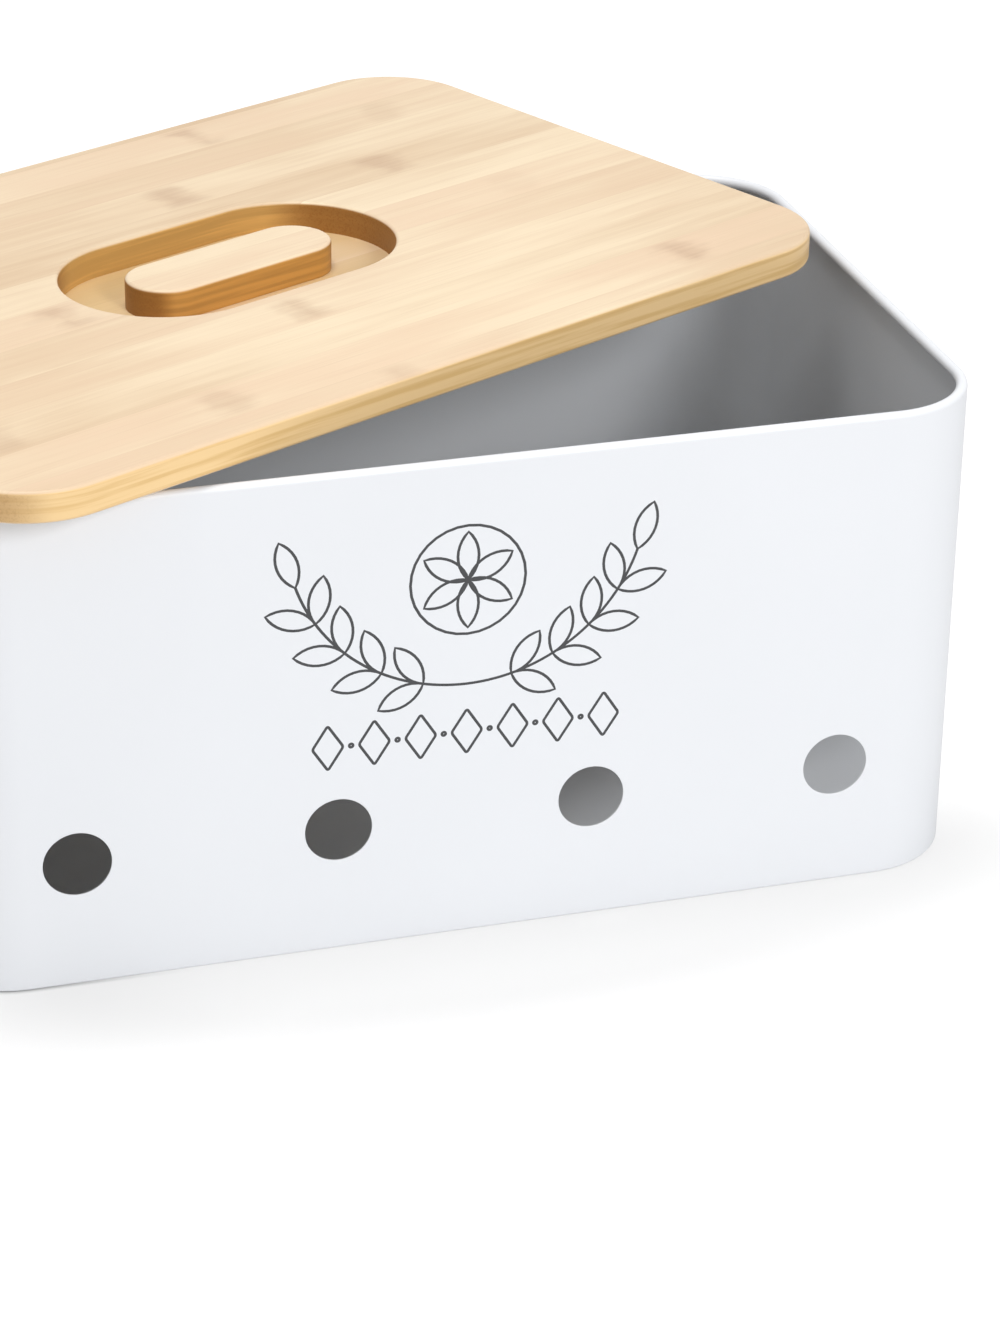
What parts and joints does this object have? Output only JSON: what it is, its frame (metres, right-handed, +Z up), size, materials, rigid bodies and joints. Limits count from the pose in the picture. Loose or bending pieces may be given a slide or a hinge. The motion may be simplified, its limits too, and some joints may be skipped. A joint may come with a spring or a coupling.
{
  "type": "potato storage bin",
  "caption": "Open-topped steel storage bin with rounded corners, a row of round vents low in the front and a loose bamboo lid with a sunk handle, lying askew on the rim.",
  "frame": {"origin": "the middle of the base, on the surface that the bin stands on", "axes": "+Z up; +X along the length of the bin, to the right as seen from the front; the front with its vents faces -Y"},
  "size_m": [0.3793, 0.3152, 0.1648],
  "materials": {
    "white_coat": "satin white powder coat outside, pale grey coat inside",
    "grey_coat": "satin pale grey powder coat",
    "bamboo": "clear-coated bamboo, satin"
  },
  "bodies": {
    "bin": {"bin_wall": "white_coat", "base_pan": "grey_coat"},
    "lid": {"lid_board": "bamboo", "lid_plug": "bamboo", "lid_handle": "bamboo"}
  },
  "joints": [
    {"name": "lid_lift", "type": "slide", "parent": "bin", "child": "lid", "axis": [0, 0, 1], "range_m": [0, 0.2]}
  ]
}
